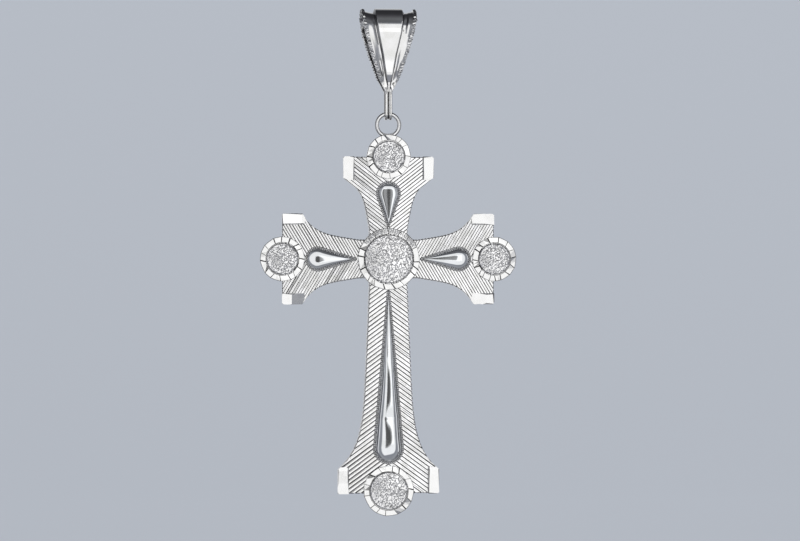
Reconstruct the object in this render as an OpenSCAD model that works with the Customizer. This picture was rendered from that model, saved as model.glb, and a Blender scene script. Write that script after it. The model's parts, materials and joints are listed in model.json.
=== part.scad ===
// Silver cross pendant on a folded bail.
// Row frame: +X right, +Z up, the ornamented front faces -Y. The origin is the axis of the
// round seat inside the top of the bail, where the neck chain lies.

/* [Cross] */
// Reach of the top arm, from the centre of the cross to its end face
top_reach = 20.4; // [18.8:0.2:24]
// Reach of each side arm, from the centre of the cross to its end face
side_reach = 21.2; // [19.6:0.2:25]
// Reach of the foot, from the centre of the cross to its end face
foot_reach = 46.8; // [36:0.2:60]
// Width of every arm where it leaves the centre
waist_w = 7.8; // [7:0.1:9]
// Width of the end faces of the top and side arms
head_w = 18; // [16:0.2:20]
// Width of the end face of the foot
foot_w = 20.2; // [17:0.2:24]
// Thickness of the plate
plate_t = 1.8; // [1.4:0.1:2.4]

/* [Medallions] */
// Radius of the medallions at the ends of the top and side arms
end_medallion_r = 4.4; // [4:0.1:4.8]
// Radius of the medallion at the foot
foot_medallion_r = 5; // [4.4:0.1:5.6]
// Radius of the centre medallion
centre_medallion_r = 6.1; // [5.8:0.1:6.6]
// Width of the bevelled border round the frosted field of a medallion
border_w = 1.05; // [0.8:0.05:1.2]
// Flats cut round the centre medallion
centre_flats = 20; // [14:1:24]
// Flats cut round the other medallions
end_flats = 16; // [13:1:20]

/* [Drops] */
// Radius of the round end of the three short drops
short_drop_r = 2.05; // [1.8:0.05:2.3]
// Radius of the round end of the long drop on the foot
long_drop_r = 2.65; // [2.3:0.05:2.9]
// Width of the beaded collar round each drop
collar_w = 0.45; // [0.35:0.05:0.55]

/* [Ring and bail] */
// Radius of the hanging ring, to the middle of its wire
ring_r = 2.24; // [2:0.02:2.6]
// Radius of the wire of the hanging ring
wire_r = 0.41; // [0.35:0.01:0.45]
// Width of the bail at its top
bail_w = 11.3; // [10:0.1:13]
// Radius of the round seat inside the top of the bail
seat_r = 3; // [2.8:0.05:3.4]
// Thickness of the bail's leaves
leaf_t = 0.6; // [0.5:0.05:0.7]
// Distance from the chain seat's axis down to the wire that the bail hangs on
bail_drop = 16.6; // [15.6:0.1:19]

/* [Hidden] */

$fn = 96;
far = 60;                   // longer than anything that it has to cut
seam = 0.02;                // gap between soldered pieces that lie side by side

// Directions of the arms in the plane of the cross, from the right arm's, anticlockwise from the front
TOP = 90;
LEFT = 180;
RIGHT = 0;
FOOT = 270;

// The arms: reach, end width, length of the straight end, and the flare's even share and power
flare_start = 6;
TOP_ARM = [top_reach, head_w, 4.2, 0.35, 5];
SIDE_ARM = [side_reach, head_w, 4, 0.35, 5];
FOOT_ARM = [foot_reach, foot_w, 4.8, 0.25, 8.5];

// Medallions
bevel_rise = 0.6;           // fall of a medallion's bevel from its field to its rim
end_medallion_h = 1;
centre_medallion_h = 1.25;
field_h = 0.3;              // height of a field at its edge
field_crown = 0.2;          // extra height in its middle
field_gap = 0.08;           // ledge left between the field and the flats
lobe_inset = 0.3;           // how far the plate's lobes stay inside the medallions
foot_medallion_u = foot_reach - 0.6;

// Drops: where their points and the middles of their round ends lie on the arms
short_drop_point = centre_medallion_r + 0.75;
long_drop_point = centre_medallion_r + 0.2;
top_drop_u = top_reach - 7.35;
side_drop_u = side_reach - 7.1;
foot_drop_u = foot_reach - 8.95;
drop_rise = 0.64;           // height of a drop over the radius of its round end
drop_tip = 0.12;            // radius of the drop's blunt point
collar_h = 0.45;

// Corner caps
cap_w = 2.15;
cap_h = 0.62;
cap_slope = 12;             // fall of a cap towards the side of the arm, in degrees
cap_pitch = 5;              // fall of its outer half towards the end of the arm, in degrees

// Ring, and the notch in the plate's top lobe that it sits in
ring_sink = 0.38;
notch_gap = 0.1;
lobe_r = end_medallion_r - lobe_inset;
hinge_z = -bail_drop;
ring_z = hinge_z - ring_r;
cross_z = ring_z - (top_reach + lobe_r + ring_r + wire_r - ring_sink);

// Bail: a strip folded over the seat, with a raised middle panel and raised edges
ridge_h = 0.8;
lip_h = 0.6;
lip_w = 0.4;
ridge_tail = 0.1;           // how far the ridge and the edges run on below the leaves
lip_tail = 0.3;
loop_gap = 0.25;            // clearance of the ring's wire in the loop
loop_t = 0.65;
loop_w = 1.45;
loop_in_r = wire_r + loop_gap;
loop_out_r = loop_in_r + loop_t;
tab_z = hinge_z + 6.4;      // where the leaves turn straight down, against the loop
front_tab_end = hinge_z + 4.25;
back_tab_end = hinge_z + 1.7;
loop_top_z = hinge_z + 5.4; // centre of the loop's upper arch

// ---------- frames ----------

// Local frame of an arm: X along the arm from the cross's centre, Y across it, Z out of the front
module on_arm(direction)
    translate([0, 0, cross_z])
        rotate([90, 0, 0])
            rotate([0, 0, direction])
                children();

// Extrudes a shape drawn in the Y-Z plane along X, both ways from the middle
module along_x(length)
    rotate([90, 0, 90])
        linear_extrude(length, center = true)
            children();

// Extrudes a shape drawn in the X-Z plane along Y, both ways from the middle
module along_y(length)
    rotate([90, 0, 0])
        linear_extrude(length, center = true)
            children();

// ---------- plate ----------

function arm_half_width(t, arm) =
    waist_w / 2 + (arm[1] - waist_w) / 2 * (arm[3] * t + (1 - arm[3]) * pow(t, arm[4]));

// One flared arm, lying along X from the cross's centre
module arm_outline(arm, steps = 24) {
    shoulder = arm[0] - arm[2];
    flare = [
        for (i = [0:steps])
            [flare_start + (shoulder - flare_start) * i / steps, arm_half_width(i / steps, arm)]
    ];
    edge = concat([[-waist_w / 4, waist_w / 2]], flare, [[arm[0], arm[1] / 2]]);
    polygon(concat(edge, [for (i = [len(edge) - 1:-1:0]) [edge[i].x, -edge[i].y]]));
}

// A round lobe of the plate, a little smaller than the medallion that it carries
module lobe(direction, u, r)
    on_arm(direction)
        translate([u, 0, -plate_t / 2])
            cylinder(h = plate_t, r = r - lobe_inset);

module arm(direction, shape)
    on_arm(direction)
        linear_extrude(plate_t, center = true)
            arm_outline(shape);

// A round wire bent into a ring, standing in the plane of the cross
module wire_ring(r)
    translate([0, 0, ring_z])
        rotate([90, 0, 0])
            rotate_extrude()
                translate([ring_r, 0])
                    circle(r, $fn = 48);

module cross_plate()
    color([0.86, 0.86, 0.87])
        difference() {
            union() {
                arm(TOP, TOP_ARM);
                arm(LEFT, SIDE_ARM);
                arm(RIGHT, SIDE_ARM);
                arm(FOOT, FOOT_ARM);
                lobe(RIGHT, 0, centre_medallion_r);
                lobe(TOP, top_reach, end_medallion_r);
                lobe(LEFT, side_reach, end_medallion_r);
                lobe(RIGHT, side_reach, end_medallion_r);
                lobe(FOOT, foot_medallion_u, foot_medallion_r);
            }
            wire_ring(wire_r + notch_gap);
        }

// ---------- medallions ----------

// A round blank whose edge is cut into flats that slope down from its top
module faceted_disc(r, h, flats) {
    slope = atan2(bevel_rise, border_w);
    difference() {
        cylinder(h = h, r = r);
        for (i = [0:flats - 1])
            rotate([0, 0, 360 / flats * (i + 0.5)])
                translate([r - border_w, 0, h])
                    rotate([0, slope, 0])
                        translate([-far / 8, -far / 2, 0])
                            cube(far);
    }
}

// The disc that carries a frosted field, with a very low crown
module crowned_disc(r, h, crown) {
    cylinder(h = h, r = r);
    translate([0, 0, h])
        cylinder(h = crown, r1 = r, r2 = r * 0.6);
}

module medallion(direction, u, r, h, flats)
    color([0.93, 0.93, 0.94])
        on_arm(direction)
            translate([u, 0, plate_t / 2])
                faceted_disc(r, h, flats);

module field(direction, u, r, h)
    color([0.78, 0.78, 0.79])
        on_arm(direction)
            translate([u, 0, plate_t / 2 + h])
                crowned_disc(r - border_w - field_gap, field_h, field_crown);

// ---------- drops ----------

// Keeps what is added clear of the centre medallion
module off_centre()
    difference() {
        children();
        translate([0, 0, -1])
            cylinder(h = 8, r = centre_medallion_r + seam);
    }

// A ball sunk into the plate, drawn out to the drop's point and cut by the face of the plate
module drop(direction, point_u, round_u, r) {
    rise = drop_rise * r;
    sink = (r * r - rise * rise) / (2 * rise);
    tip_u = point_u + drop_tip * (round_u - point_u) / r;
    color([0.80, 0.82, 0.85])
        on_arm(direction)
            translate([0, 0, plate_t / 2])
                intersection() {
                    hull() {
                        translate([round_u, 0, -sink])
                            sphere(rise + sink, $fn = 48);
                        translate([tip_u, 0, 0])
                            sphere(drop_tip, $fn = 16);
                    }
                    translate([0, -far / 2, 0])
                        cube(far);
                }
}

// Flat outline round a drop: an arc and its two tangents from a sharp point
module drop_outline(point_u, round_u, r, steps = 48) {
    sweep = 90 + asin(r / (round_u - point_u));
    arc = [
        for (i = [0:steps])
            let (a = sweep * (1 - 2 * i / steps))
                [round_u + r * cos(a), r * sin(a)]
    ];
    polygon(concat([[point_u, 0]], arc));
}

module collar(direction, point_u, round_u, r) {
    half_angle = asin(r / (round_u - point_u));
    color([0.88, 0.88, 0.89])
        on_arm(direction)
            off_centre()
                translate([0, 0, plate_t / 2])
                    linear_extrude(collar_h)
                        difference() {
                            drop_outline(point_u - collar_w / sin(half_angle), round_u, r + collar_w);
                            drop_outline(point_u - seam / sin(half_angle), round_u, r + seam);
                        }
}

// ---------- corner caps ----------

// side is 1 for the corner on the arm's left, looking out along it from the front, and -1 for the other
module corner_cap(direction, arm, side)
    color([0.96, 0.96, 0.97])
        on_arm(direction)
            translate([0, 0, plate_t / 2])
                mirror([0, side < 0 ? 1 : 0, 0])
                    difference() {
                        linear_extrude(cap_h)
                            intersection() {
                                arm_outline(arm);
                                translate([0, arm[1] / 2 - cap_w])
                                    square([far, cap_w]);
                            }
                        translate([0, arm[1] / 2 - cap_w + 0.5, cap_h])
                            rotate([-cap_slope, 0, 0])
                                cube(far);
                        translate([arm[0] - arm[2] * 0.55, -far / 2, cap_h])
                            rotate([0, cap_pitch, 0])
                                cube(far);
                    }

// ---------- ring, bail and loop ----------

module hanging_ring()
    color([0.90, 0.90, 0.91])
        wire_ring(wire_r);

// Side view of the folded strip's surface: an arc of radius r over the seat, tangent leaves down
// to the tabs, and tabs that end at front_end and back_end. grow is the distance from the inside.
module folded_side(grow, front_end, back_end) {
    r = seat_r + grow;
    lean = leaf_lean();
    knee = (r + tab_z * sin(lean)) / cos(lean);
    circle(r);
    polygon([
        [-r * cos(lean), -r * sin(lean)],
        [-knee, tab_z],
        [-knee, front_end],
        [0, front_end],
        [0, back_end],
        [knee, back_end],
        [knee, tab_z],
        [r * cos(lean), -r * sin(lean)]
    ]);
}

// Lean of the leaves, at which their inner faces meet the outside of the loop at the tabs
function leaf_lean() =
    let (reach = norm([loop_out_r, tab_z]))
        asin(seat_r / reach) - atan2(loop_out_r, -tab_z);

// Front view of the strip: half widths at a few heights, from the top of the fold to the tab's point
module strip_front(inset) {
    top = seat_r + leaf_t + ridge_h + 1;
    half = bail_w / 2;
    right = [
        [half - inset, top],
        [half * 0.975 - inset, seat_r * 0.7],
        [half * 0.89 - inset, -seat_r * 0.1],
        [half * 0.39 - inset, hinge_z * 0.555],
        [loop_w / 2 - inset, front_tab_end + 0.9]
    ];
    polygon(concat(right, [for (i = [len(right) - 1:-1:0]) [-right[i].x, right[i].y]]));
}

// The back tab is a straight tongue as wide as the loop
module tongue_front()
    translate([-loop_w / 2, back_tab_end])
        square([loop_w, tab_z - back_tab_end]);

// The front tab ends in a point
module tab_point()
    polygon([
        [-loop_w / 2, front_tab_end + 0.95],
        [loop_w / 2, front_tab_end + 0.95],
        [0.15, front_tab_end],
        [-0.15, front_tab_end]
    ]);

// Front view of the raised middle panel, from the top of the fold to the tab
module ridge_front() {
    top = seat_r + leaf_t + ridge_h + 1;
    right = [
        [bail_w * 0.245, top],
        [bail_w * 0.212, seat_r * 0.48],
        [bail_w * 0.1, tab_z * 0.5],
        [0.4, tab_z - 1]
    ];
    polygon(concat(right, [for (i = [len(right) - 1:-1:0]) [-right[i].x, right[i].y]]));
}

module bail()
    color([0.89, 0.89, 0.90])
        difference() {
            union() {
                intersection() {
                    along_x(bail_w)
                        folded_side(leaf_t, front_tab_end, back_tab_end);
                    union() {
                        along_y(far) {
                            strip_front(0);
                            tab_point();
                        }
                        translate([0, far / 4, 0])
                            along_y(far / 2)
                                tongue_front();
                    }
                }
                intersection() {
                    along_x(bail_w)
                        folded_side(leaf_t + ridge_h, tab_z - ridge_tail, tab_z - ridge_tail);
                    along_y(far)
                        ridge_front();
                }
                intersection() {
                    along_x(bail_w)
                        folded_side(leaf_t + lip_h, tab_z - lip_tail, tab_z - lip_tail);
                    along_y(far)
                        difference() {
                            strip_front(0);
                            strip_front(lip_w);
                        }
                }
            }
            along_x(far)
                folded_side(0, hinge_z - 4, hinge_z - 4);
        }

module slot_shape(r) {
    translate([0, hinge_z])
        circle(r);
    translate([0, loop_top_z])
        circle(r);
    translate([-r, hinge_z])
        square([2 * r, loop_top_z - hinge_z]);
}

module bail_loop()
    color([0.90, 0.90, 0.91])
        along_x(loop_w)
            difference() {
                slot_shape(loop_out_r);
                slot_shape(loop_in_r);
            }

// ---------- nodes ----------

cross_plate();
medallion(RIGHT, 0, centre_medallion_r, centre_medallion_h, centre_flats);  // centre_medallion
medallion(TOP, top_reach, end_medallion_r, end_medallion_h, end_flats);  // top_medallion
medallion(LEFT, side_reach, end_medallion_r, end_medallion_h, end_flats);  // left_medallion
medallion(RIGHT, side_reach, end_medallion_r, end_medallion_h, end_flats);  // right_medallion
medallion(FOOT, foot_medallion_u, foot_medallion_r, end_medallion_h, end_flats);  // foot_medallion

field(RIGHT, 0, centre_medallion_r, centre_medallion_h);  // centre_field
field(TOP, top_reach, end_medallion_r, end_medallion_h);  // top_field
field(LEFT, side_reach, end_medallion_r, end_medallion_h);  // left_field
field(RIGHT, side_reach, end_medallion_r, end_medallion_h);  // right_field
field(FOOT, foot_medallion_u, foot_medallion_r, end_medallion_h);  // foot_field

drop(TOP, short_drop_point, top_drop_u, short_drop_r);  // top_drop
drop(LEFT, short_drop_point, side_drop_u, short_drop_r);  // left_drop
drop(RIGHT, short_drop_point, side_drop_u, short_drop_r);  // right_drop
drop(FOOT, long_drop_point, foot_drop_u, long_drop_r);  // foot_drop

collar(TOP, short_drop_point, top_drop_u, short_drop_r);  // top_drop_collar
collar(LEFT, short_drop_point, side_drop_u, short_drop_r);  // left_drop_collar
collar(RIGHT, short_drop_point, side_drop_u, short_drop_r);  // right_drop_collar
collar(FOOT, long_drop_point, foot_drop_u, long_drop_r);  // foot_drop_collar

corner_cap(TOP, TOP_ARM, 1);  // top_left_corner_cap
corner_cap(TOP, TOP_ARM, -1);  // top_right_corner_cap
corner_cap(LEFT, SIDE_ARM, 1);  // left_lower_corner_cap
corner_cap(LEFT, SIDE_ARM, -1);  // left_upper_corner_cap
corner_cap(RIGHT, SIDE_ARM, 1);  // right_upper_corner_cap
corner_cap(RIGHT, SIDE_ARM, -1);  // right_lower_corner_cap
corner_cap(FOOT, FOOT_ARM, 1);  // foot_right_corner_cap
corner_cap(FOOT, FOOT_ARM, -1);  // foot_left_corner_cap

hanging_ring();
bail();
bail_loop();
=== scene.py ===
import json
import random
from collections import namedtuple
from math import asin, atan2, cos, degrees, exp, hypot, pi, radians, sin, sqrt, tan

import bmesh
import bpy
import numpy as np
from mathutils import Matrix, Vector, noise

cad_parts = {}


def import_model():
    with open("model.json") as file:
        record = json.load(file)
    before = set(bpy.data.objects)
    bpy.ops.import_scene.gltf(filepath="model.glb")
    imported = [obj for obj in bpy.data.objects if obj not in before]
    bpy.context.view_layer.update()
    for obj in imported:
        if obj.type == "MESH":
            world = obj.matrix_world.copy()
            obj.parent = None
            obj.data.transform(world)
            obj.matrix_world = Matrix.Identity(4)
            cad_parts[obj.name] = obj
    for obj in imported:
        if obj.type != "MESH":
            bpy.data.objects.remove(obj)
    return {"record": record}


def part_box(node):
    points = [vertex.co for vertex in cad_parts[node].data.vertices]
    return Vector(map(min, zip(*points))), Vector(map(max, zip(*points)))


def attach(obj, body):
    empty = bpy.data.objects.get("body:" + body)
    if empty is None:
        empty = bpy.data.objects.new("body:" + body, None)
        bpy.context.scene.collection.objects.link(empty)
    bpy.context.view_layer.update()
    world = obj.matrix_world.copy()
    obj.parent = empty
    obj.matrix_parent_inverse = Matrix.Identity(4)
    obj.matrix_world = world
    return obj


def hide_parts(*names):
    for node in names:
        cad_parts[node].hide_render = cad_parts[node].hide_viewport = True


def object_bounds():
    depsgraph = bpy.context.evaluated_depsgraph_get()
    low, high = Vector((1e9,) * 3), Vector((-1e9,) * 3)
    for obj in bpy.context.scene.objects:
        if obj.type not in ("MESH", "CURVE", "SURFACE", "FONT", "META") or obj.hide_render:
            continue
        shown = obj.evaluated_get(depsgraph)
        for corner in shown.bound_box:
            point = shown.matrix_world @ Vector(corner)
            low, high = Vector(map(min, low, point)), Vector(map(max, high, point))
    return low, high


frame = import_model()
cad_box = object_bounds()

# Lengths below are in millimetres. Arm coordinates are u along the arm from the centre of the
# cross, v across it, and w out of the ornamented front, which faces -Y.
MM = 0.001


# ------------------------------ sizes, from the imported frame

def box_mm(node):
    low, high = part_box(node)
    return [c / MM for c in low], [c / MM for c in high]


def middle(node, axis):
    low, high = box_mm(node)
    return (low[axis] + high[axis]) / 2


def half_size(node, axis):
    low, high = box_mm(node)
    return (high[axis] - low[axis]) / 2


CROSS_Z = middle("centre_medallion", 2)
FRONT = -box_mm("cross_plate")[0][1]
BACK = -box_mm("cross_plate")[1][1]

TOP_REACH = box_mm("top_right_corner_cap")[1][2] - CROSS_Z
SIDE_REACH = box_mm("right_upper_corner_cap")[1][0]
FOOT_REACH = CROSS_Z - box_mm("foot_right_corner_cap")[0][2]
HEAD_HALF = box_mm("top_right_corner_cap")[1][0]
FOOT_HALF = box_mm("foot_right_corner_cap")[1][0]

WAIST_HALF = 3.9  # half width of an arm before it flares
FLARE_START = 6.0  # how far out the flare starts

# The four arms: direction from +X, reach, half width at the end, length of the straight end,
# even share and power of the flare, how far the grooves lean from square to the arm, and the
# distance between them
Arm = namedtuple("Arm", "angle reach half straight share power lean pitch")
ARMS = {
    "top": Arm(90, TOP_REACH, HEAD_HALF, 4.2, 0.35, 5.0, 38, 0.60),
    "left": Arm(180, SIDE_REACH, HEAD_HALF, 4.0, 0.35, 5.0, 31, 0.50),
    "right": Arm(0, SIDE_REACH, HEAD_HALF, 4.0, 0.35, 5.0, 31, 0.50),
    "foot": Arm(270, FOOT_REACH, FOOT_HALF, 4.8, 0.25, 8.5, 36, 0.72),
}


def medallion_place(name):
    """Distance of a medallion from the centre along its arm, its radius and its height."""
    low, high = box_mm(name + "_medallion")
    centre = ((low[0] + high[0]) / 2, (low[2] + high[2]) / 2 - CROSS_Z)
    return hypot(*centre), (high[0] - low[0]) / 2, -low[1] - FRONT


def arm_angle(name):
    return ARMS[name].angle if name in ARMS else 0


RING_Z = middle("hanging_ring", 2)
WIRE_R = half_size("hanging_ring", 1)
RING_R = half_size("hanging_ring", 2) - WIRE_R  # from its centre to the middle of the wire
HINGE_Z = RING_Z + RING_R

SEAT_R = next(m for m in frame["record"]["mounts"] if m["name"] == "chain_seat")["dims"]["r_mm"]
LEAF_T = 0.6  # thickness of the bail's strip, and of its loop's strap
LOOP_T = 0.65
RIDGE_H = box_mm("bail")[1][2] - SEAT_R - LEAF_T
LOOP_OUT_R = HINGE_Z - box_mm("bail_loop")[0][2]
LOOP_IN_R = LOOP_OUT_R - LOOP_T
LOOP_HALF = box_mm("bail_loop")[1][0]
LOOP_TOP_Z = box_mm("bail_loop")[1][2] - LOOP_OUT_R


# ------------------------------ mesh helpers

def on_arm(angle, points):
    """Arm coordinates to the row frame, both in millimetres."""
    p = np.asarray(points, float)
    c, s = cos(radians(angle)), sin(radians(angle))
    return np.stack(
        [p[:, 0] * c - p[:, 1] * s, -p[:, 2], CROSS_Z + p[:, 0] * s + p[:, 1] * c], axis=1
    )


def new_object(name, data):
    made = bpy.data.objects.new(name, data)
    bpy.context.scene.collection.objects.link(made)
    return made


def new_mesh(name, points, faces, kinds=None):
    """A mesh object with outward normals. kinds gives each face's material index."""
    mesh = bpy.data.meshes.new(name)
    mesh.from_pydata([tuple(c * MM for c in p) for p in points], [], faces)
    if kinds is not None:
        mesh.polygons.foreach_set("material_index", np.asarray(kinds, dtype=np.int32))
    mesh.validate()
    tidy = bmesh.new()
    tidy.from_mesh(mesh)
    bmesh.ops.recalc_face_normals(tidy, faces=tidy.faces)
    tidy.to_mesh(mesh)
    tidy.free()
    return new_object(name, mesh)


def smooth_below(piece, most):
    """Smooth shading, except over edges that turn by more than so many degrees."""
    tidy = bmesh.new()
    tidy.from_mesh(piece.data)
    for face in tidy.faces:
        face.smooth = True
    for edge in tidy.edges:
        edge.smooth = edge.is_manifold and edge.calc_face_angle(0) < radians(most)
    tidy.to_mesh(piece.data)
    tidy.free()


def tube_faces(rows, columns, close_rows=False):
    """Quads of a grid whose columns close into a tube, capped at its ends unless the rows close."""
    faces = []
    for i in range(rows if close_rows else rows - 1):
        a, b = i * columns, (i + 1) % rows * columns
        for j in range(columns):
            k = (j + 1) % columns
            faces.append((a + j, a + k, b + k, b + j))
    if not close_rows:
        faces.append(tuple(range(columns)))
        faces.append(tuple(reversed(range((rows - 1) * columns, rows * columns))))
    return faces


def fan_faces(start, rings, steps):
    """Faces from one top point down over rings of points, closed underneath."""
    first = start + 1
    faces = [(start, first + j, first + (j + 1) % steps) for j in range(steps)]
    for i in range(rings - 1):
        a, b = first + i * steps, first + (i + 1) * steps
        for j in range(steps):
            k = (j + 1) % steps
            faces.append((a + j, b + j, b + k, a + k))
    faces.append(tuple(first + (rings - 1) * steps + j for j in range(steps)))
    return faces


def boolean(piece, other, operation):
    """Joins the other mesh to the piece, or cuts it out, and removes the other."""
    modifier = piece.modifiers.new("cut", "BOOLEAN")
    modifier.object = other
    modifier.operation = operation
    modifier.solver = "MANIFOLD"
    bpy.context.view_layer.objects.active = piece
    bpy.ops.object.modifier_apply(modifier=modifier.name)
    bpy.data.objects.remove(other, do_unlink=True)


def finish_piece(piece, body, slot, materials, *replaced):
    """Gives a piece its materials and its body, and hides the nodes it stands for. slot is not
    used.
    """
    for material in materials:
        piece.data.materials.append(material)
    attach(piece, body)
    if replaced:
        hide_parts(*replaced)


# ------------------------------ silver

CLOUD_BAND = (0.32, 0.68)  # the band of the tarnish noise over which the tint changes
GLOSS_BAND = (0.3, 0.7)  # the band over which the gloss does
BLUE_LOSS = 0.25  # how much more of the blue tarnish takes, as a share of what it takes
BELT_MM = 0.45  # the brushed lines: their width, how much they are drawn out, and
BELT_STRETCH = 0.02  # the band of the noise over which they fade
BELT_BAND = (0.35, 0.6)
SCRATCH_MM = 0.08  # the scratches: their width, how much they are drawn out, and
SCRATCH_STRETCH = 0.06  # their turn in radians
SCRATCH_TURN = (0.2, 0.6, 0.4)
SCRATCH_DEPTH = 0.01  # depths for the bump nodes
GRAIN_DEPTH = 0.02


def add_node(tree, kind, inputs=None, operation=None):
    """A new shader node. inputs gives an input's value or the output linked to it, by name or
    number."""
    node = tree.nodes.new("ShaderNode" + kind)
    if operation:
        node.operation = operation
    for key, value in (inputs or {}).items():
        if isinstance(value, bpy.types.NodeSocket):
            tree.links.new(value, node.inputs[key])
        else:
            node.inputs[key].default_value = value
    return node


def noise_of(tree, place, size_mm, detail):
    return add_node(tree, "TexNoise", {
        "Vector": place, "Scale": 1 / (size_mm * MM), "Detail": detail,
    }).outputs["Fac"]


def ramp(tree, value, band, low, high):
    """A node that goes from low to high while the value crosses a band."""
    return add_node(tree, "MapRange", {
        "Value": value, "From Min": band[0], "From Max": band[1], "To Min": low, "To Max": high,
    })


def scaled(tree, vector, factor):
    """The output of a node that multiplies a colour or vector by a factor."""
    return add_node(tree, "VectorMath", {0: vector, "Scale": factor}, "SCALE").outputs["Vector"]


def silver(name, tint, roughness, tarnish=0.1, cloud_mm=1.5, grain_mm=0.12, grain=0.1,
           scratches=0.0, brushed=0.0):
    """Sterling silver. Cloudy tarnish and grain vary its colour and gloss, and fine scratches
    and grain its surface. roughness is a pair, from the brightest to the dullest spots. brushed
    darkens the upright lines that finishing on a belt leaves."""
    material = bpy.data.materials.new(name)
    material.use_nodes = True
    tree = material.node_tree
    shader = tree.nodes["Principled BSDF"]
    shader.inputs["Metallic"].default_value = 1.0
    place = add_node(tree, "TexCoord").outputs["Object"]

    cloud = noise_of(tree, place, cloud_mm, 4.0)
    colour = add_node(tree, "ValToRGB", {"Fac": cloud})
    dull = [c * (1 - tarnish) for c in tint]
    dull[2] *= 1 - tarnish * BLUE_LOSS
    for number, tone in enumerate((dull, tint)):
        colour.color_ramp.elements[number].position = CLOUD_BAND[number]
        colour.color_ramp.elements[number].color = (*tone, 1)
    base = colour.outputs["Color"]
    if brushed:
        upright = add_node(tree, "Mapping", {"Vector": place, "Scale": (1.0, 1.0, BELT_STRETCH)})
        belt = noise_of(tree, upright.outputs["Vector"], BELT_MM, 2.0)
        base = scaled(tree, base, ramp(tree, belt, BELT_BAND, 1 - brushed, 1.0).outputs["Result"])
    tree.links.new(base, shader.inputs["Base Color"])

    gloss = ramp(tree, cloud, GLOSS_BAND, roughness[1], roughness[0])
    tree.links.new(gloss.outputs["Result"], shader.inputs["Roughness"])

    surface = add_node(tree, "Bump", {
        "Height": noise_of(tree, place, grain_mm, 3.0),
        "Strength": grain, "Distance": GRAIN_DEPTH * MM,
    })
    if scratches:
        stretch = add_node(tree, "Mapping", {
            "Vector": place, "Rotation": SCRATCH_TURN, "Scale": (1.0, SCRATCH_STRETCH, 1.0),
        })
        surface = add_node(tree, "Bump", {
            "Height": noise_of(tree, stretch.outputs["Vector"], SCRATCH_MM, 1.0),
            "Strength": scratches, "Distance": SCRATCH_DEPTH * MM,
            "Normal": surface.outputs["Normal"],
        })
    tree.links.new(surface.outputs["Normal"], shader.inputs["Normal"])
    return material


ENGRAVED = silver("engraved_silver", (0.95, 0.95, 0.96), (0.08, 0.2), 0.08, grain=0.2,
                  scratches=0.25)
# Dark silver for the grooves and other recesses: oxide, with painted shade standing in for the
# shade that falls in them
OXIDE_AND_PAINTED_SHADE = silver("oxide_and_painted_shade_silver", (0.25, 0.25, 0.27), (0.25, 0.45), 0.35, grain=0.3)
BRUSHED = silver("brushed_silver", (0.86, 0.86, 0.87), (0.2, 0.32), 0.1, 4.0, grain=0.15,
                 scratches=0.6, brushed=0.3)
BRIGHT = silver("bright_cut_silver", (0.96, 0.96, 0.96), (0.08, 0.16), 0.03, grain=0.05,
                scratches=0.1)
# Near-black silver for the sunk lines between a rim's cuts: painted shade in the lines
CUT_LINE_SHADE = silver("cut_line_painted_shade_silver", (0.14, 0.14, 0.15), (0.3, 0.45), 0.2, grain=0.2)
FROSTED = silver("frosted_silver", (0.95, 0.95, 0.96), (0.12, 0.22), 0.06, 0.7, 0.06, grain=0.15)
# Darker silver for the hammered lines and the low edge of a field: tarnish, with painted shade in
# these recesses
FROST_LINE_TARNISH_AND_SHADE = silver("frost_line_tarnish_and_shade_silver", (0.42, 0.42, 0.45), (0.3, 0.45), 0.3, 0.7, 0.06,
                    grain=0.2)
DROP = silver("drop_silver", (0.84, 0.86, 0.89), (0.04, 0.09), 0.08, 2.5, grain=0.03,
              scratches=0.06)
BEADED = silver("beaded_silver", (0.93, 0.93, 0.94), (0.1, 0.2), 0.15, 0.5, grain=0.15)
BAIL = silver("bail_silver", (0.90, 0.90, 0.91), (0.06, 0.14), 0.1, 2.2, grain=0.06,
              scratches=0.15)
WIRE = silver("wire_silver", (0.90, 0.90, 0.91), (0.08, 0.16), 0.12, 0.9, grain=0.08,
              scratches=0.15)


# ------------------------------ engraved plate

GROOVE_HALF = 0.145  # half width and depth of a groove, as shares of the pitch
GROOVE_DEPTH = 0.20
GROOVE_UNEVEN = (0.75, 1.2)  # limits of each groove's own factor on its depth and width
GROOVE_FACES = 0.55  # faces deeper than this share of a groove's depth take the dark silver: oxide with painted shade
GROOVE_WOBBLE = 0.3  # how much the cuts' depth wavers along their length
GROOVES_START = 1.2  # the first groove's distance from the centre, and how far short of
GROOVES_SHORT = 0.05  # the arm's end the last one may come
NOTCH = 0.24  # how far a groove's end bites into the plate's edge
LAND_BITE = 0.03  # how far the edges of the lands do
LAND_TILT = 0.012  # the most that a land leans, and its height beside and at its middle
LAND_SIDE = 0.012
LAND_CROWN = 0.015
FINE_HALF = 0.12  # the fine line down the lands on one side of an arm, as shares too
FINE_DEPTH = 0.14
FINE_PLACE = (0.47, 0.53)  # limits of where it lies on the land
EDGE_CHAMFER = 0.24  # width and fall of the chamfer along the plate's edge
EDGE_DROP = 0.18
ROOF = 0.12  # fall of the surface from the middle of an arm to its edges
LEAST_REACH = 0.03  # the least half width of an arm's face, at its tips
CLOSEST_ROWS = 0.004  # rows of points nearer than this are merged
ACROSS = [0.0, 0.14, 0.34, 0.55, 0.78, 1.0]  # its points across, up to the chamfer


def half_width(u, arm):
    shoulder = arm.reach - arm.straight
    t = np.clip((u - FLARE_START) / (shoulder - FLARE_START), 0, 1)
    flare = arm.share * t + (1 - arm.share) * t ** arm.power
    return WAIST_HALF + (arm.half - WAIST_HALF) * flare


def edge_across(start, slope, arm):
    """How far across the arm the line u = start + slope * v meets the plate's outline."""
    v = np.linspace(0, arm.half, 1200)
    u = start + slope * v
    inside = (v <= half_width(u, arm)) & (u <= arm.reach)
    return v[np.nonzero(inside)[0][-1]]


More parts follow.
